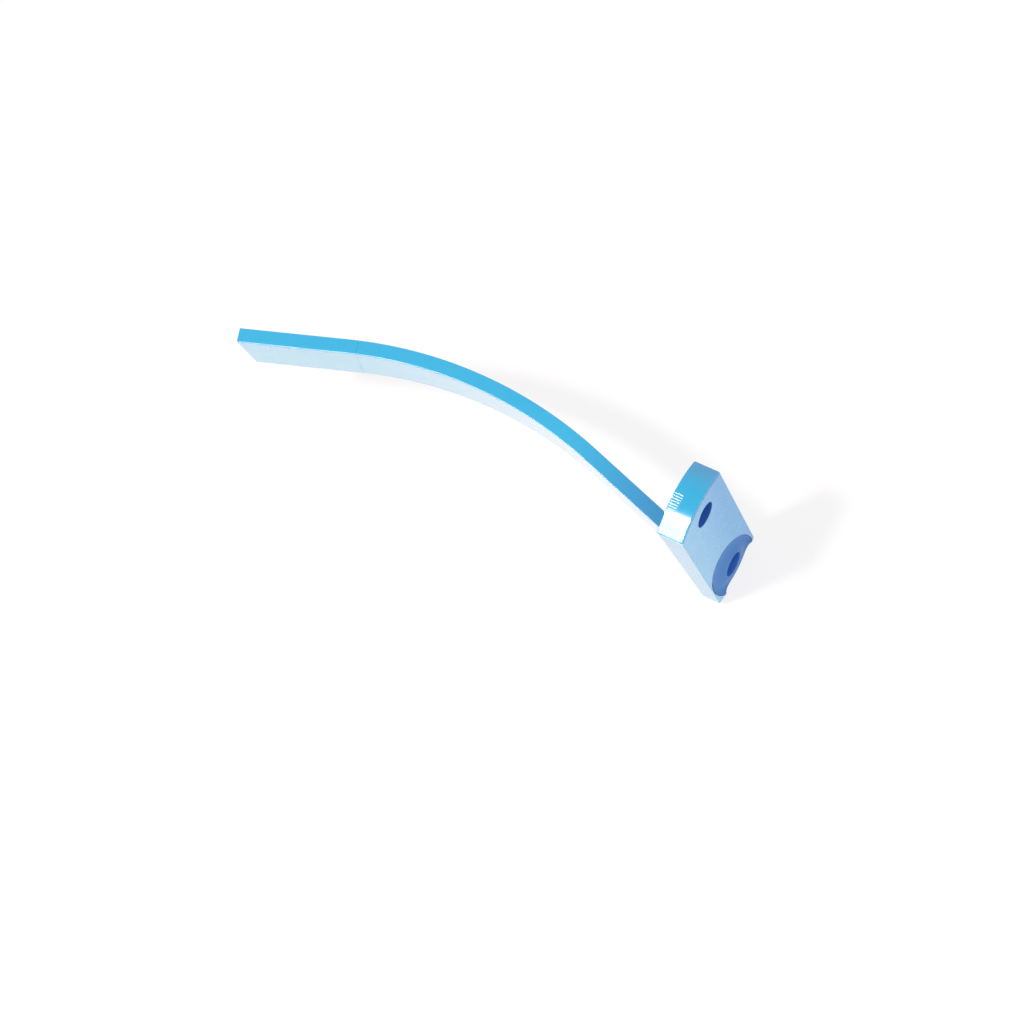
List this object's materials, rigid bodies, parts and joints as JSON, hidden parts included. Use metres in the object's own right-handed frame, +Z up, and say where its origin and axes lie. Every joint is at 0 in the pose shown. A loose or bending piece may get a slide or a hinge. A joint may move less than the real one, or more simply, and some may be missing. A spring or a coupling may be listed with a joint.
{
  "type": "saliva ejector tip",
  "caption": "Reusable flat-blade saliva ejector tip: a curved hollow blade with a pull-off end on a wedge-shaped head with a padded hose port and a vent port.",
  "frame": {"origin": "centre of the hose port's mouth", "axes": "+X out of the hose port, towards the hose; +Z up the head towards the vent port and cap; the blade runs along -X"},
  "size_m": [0.1255, 0.0188, 0.0582],
  "materials": {
    "head_plastic": "glossy moulded, light blue",
    "blade_plastic": "glossy moulded, light blue",
    "bush_rubber": "satin elastomer, deeper blue",
    "seal_rubber": "matte silicone, dark blue",
    "strainer_plastic": "fine matte, near white",
    "wire_metal": "drawn soft wire"
  },
  "bodies": {
    "head_and_blade": {"head_body": "head_plastic", "cap_gasket": "seal_rubber", "chamber_strainer": "strainer_plastic", "blade_channel": "blade_plastic", "blade_cover": "blade_plastic", "shaping_wire": "wire_metal", "joint_sleeve": "strainer_plastic"},
    "cap": {"head_cap": "head_plastic"},
    "hose_bush": {"port_bush": "bush_rubber", "port_seal": "seal_rubber"},
    "tip": {"tip_channel": "blade_plastic", "tip_cover": "blade_plastic", "tip_grille": "strainer_plastic"}
  },
  "joints": [
    {"name": "cap_lift", "type": "slide", "parent": "head_and_blade", "child": "cap", "axis": [0, 0, 1], "range_m": [0, 0.008]},
    {"name": "bush_pull", "type": "slide", "parent": "head_and_blade", "child": "hose_bush", "axis": [1, 0, 0], "range_m": [0, 0.006]},
    {"name": "tip_pull", "type": "slide", "parent": "head_and_blade", "child": "tip", "axis": [-0.9548, -0.2974, 0], "range_m": [0, 0.012]}
  ]
}
